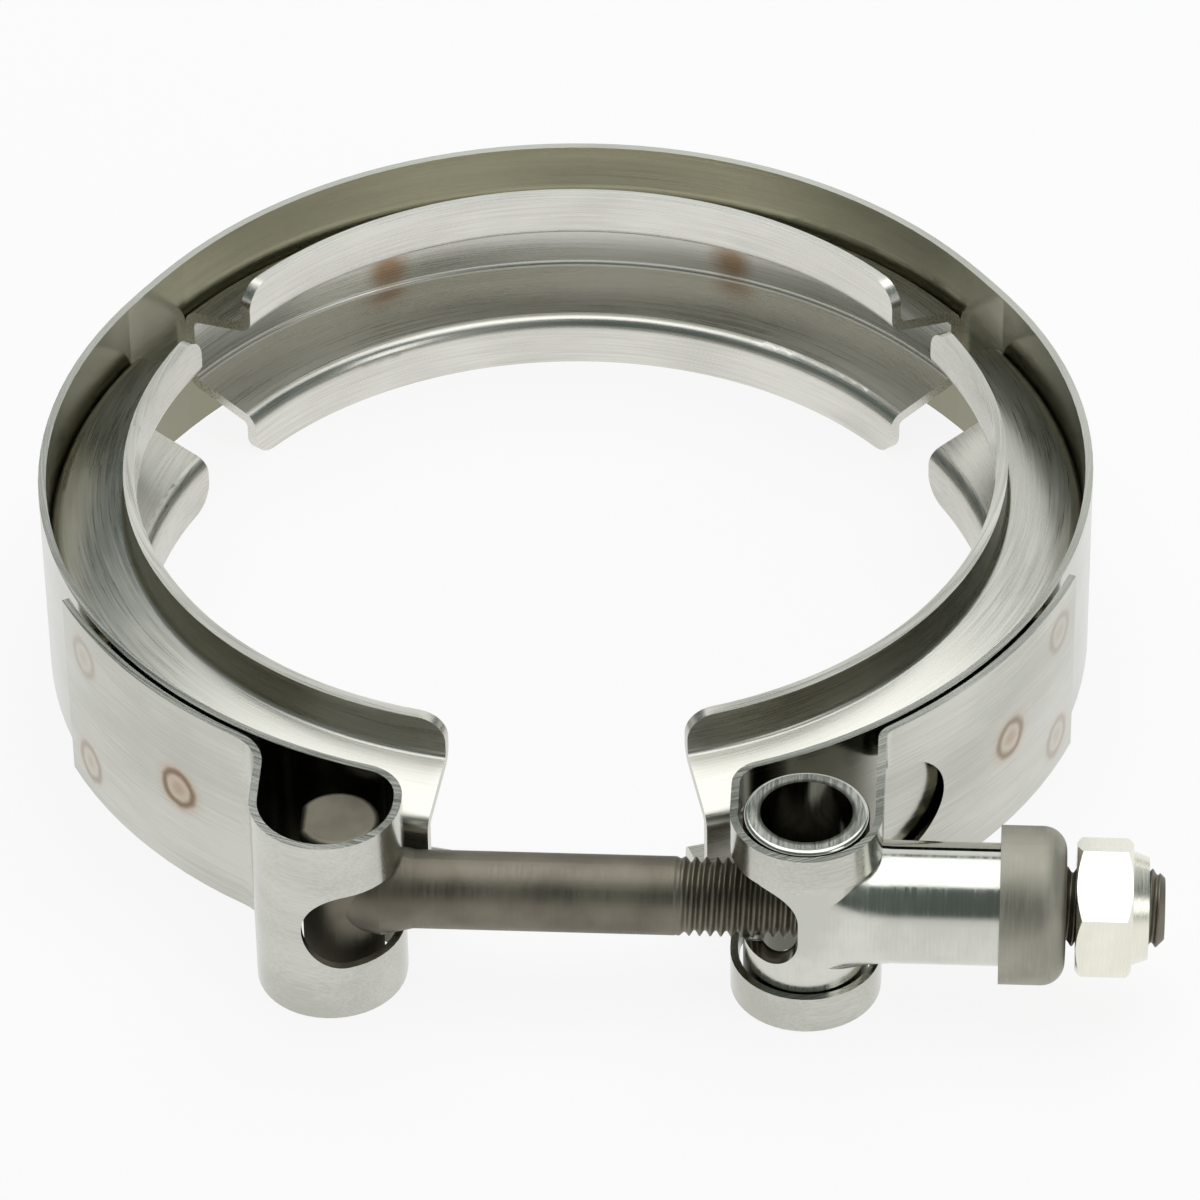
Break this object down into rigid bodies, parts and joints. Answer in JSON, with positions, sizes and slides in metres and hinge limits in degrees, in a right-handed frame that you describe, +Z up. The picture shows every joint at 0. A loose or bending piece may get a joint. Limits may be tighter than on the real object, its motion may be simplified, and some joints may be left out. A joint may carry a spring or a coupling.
{
  "type": "v-band clamp",
  "caption": "V-band clamp: a strap round V-section retainers, closed at the front by a T-bolt through a trunnion, end collar and lock nut.",
  "frame": {"origin": "mid-height between the lips of the rear retainer, on its axis", "axes": "+Z up along the axis of the joint that the clamp closes; +X along the T-bolt, from its head towards the nut; the bolt is at the front (-Y)"},
  "size_m": [0.1182, 0.1204, 0.0229],
  "materials": {
    "band": "rolled stainless strip, satin, with heat tint at the spot welds",
    "retainer": "roll-formed stainless, brushed along the ring",
    "bolt": "dull forged steel with a dark rolled thread",
    "trunnion": "formed stainless sheet, satin",
    "collar": "pressed cup, satin",
    "nut": "plated, bright satin"
  },
  "bodies": {
    "band": {"outer_band": "band", "v_retainer_left": "retainer", "v_retainer_back": "retainer", "v_retainer_right": "retainer"},
    "trunnion": {"trunnion": "trunnion", "end_collar": "collar"},
    "bolt": {"t_bolt": "bolt"},
    "nut": {"lock_nut": "nut"}
  },
  "joints": [
    {"name": "trunnion_swivel", "type": "hinge", "parent": "band", "child": "trunnion", "pos_m": [0.0274, -0.0595, 0], "axis": [0, 0, 1], "range_deg": [-0.4, 1]},
    {"name": "bolt_draw", "type": "slide", "parent": "trunnion", "child": "bolt", "axis": [1, 0, 0], "range_m": [-0.003, 0.0008]},
    {"name": "nut_turn", "type": "hinge", "parent": "trunnion", "child": "nut", "pos_m": [0.0543, -0.0595, 0], "axis": [-1, 0, 0], "range_deg": [-1060, 310]}
  ],
  "couplings": [
    {"joint": "nut_turn", "follows": "bolt_draw", "rad_per_m": 5936.9}
  ]
}
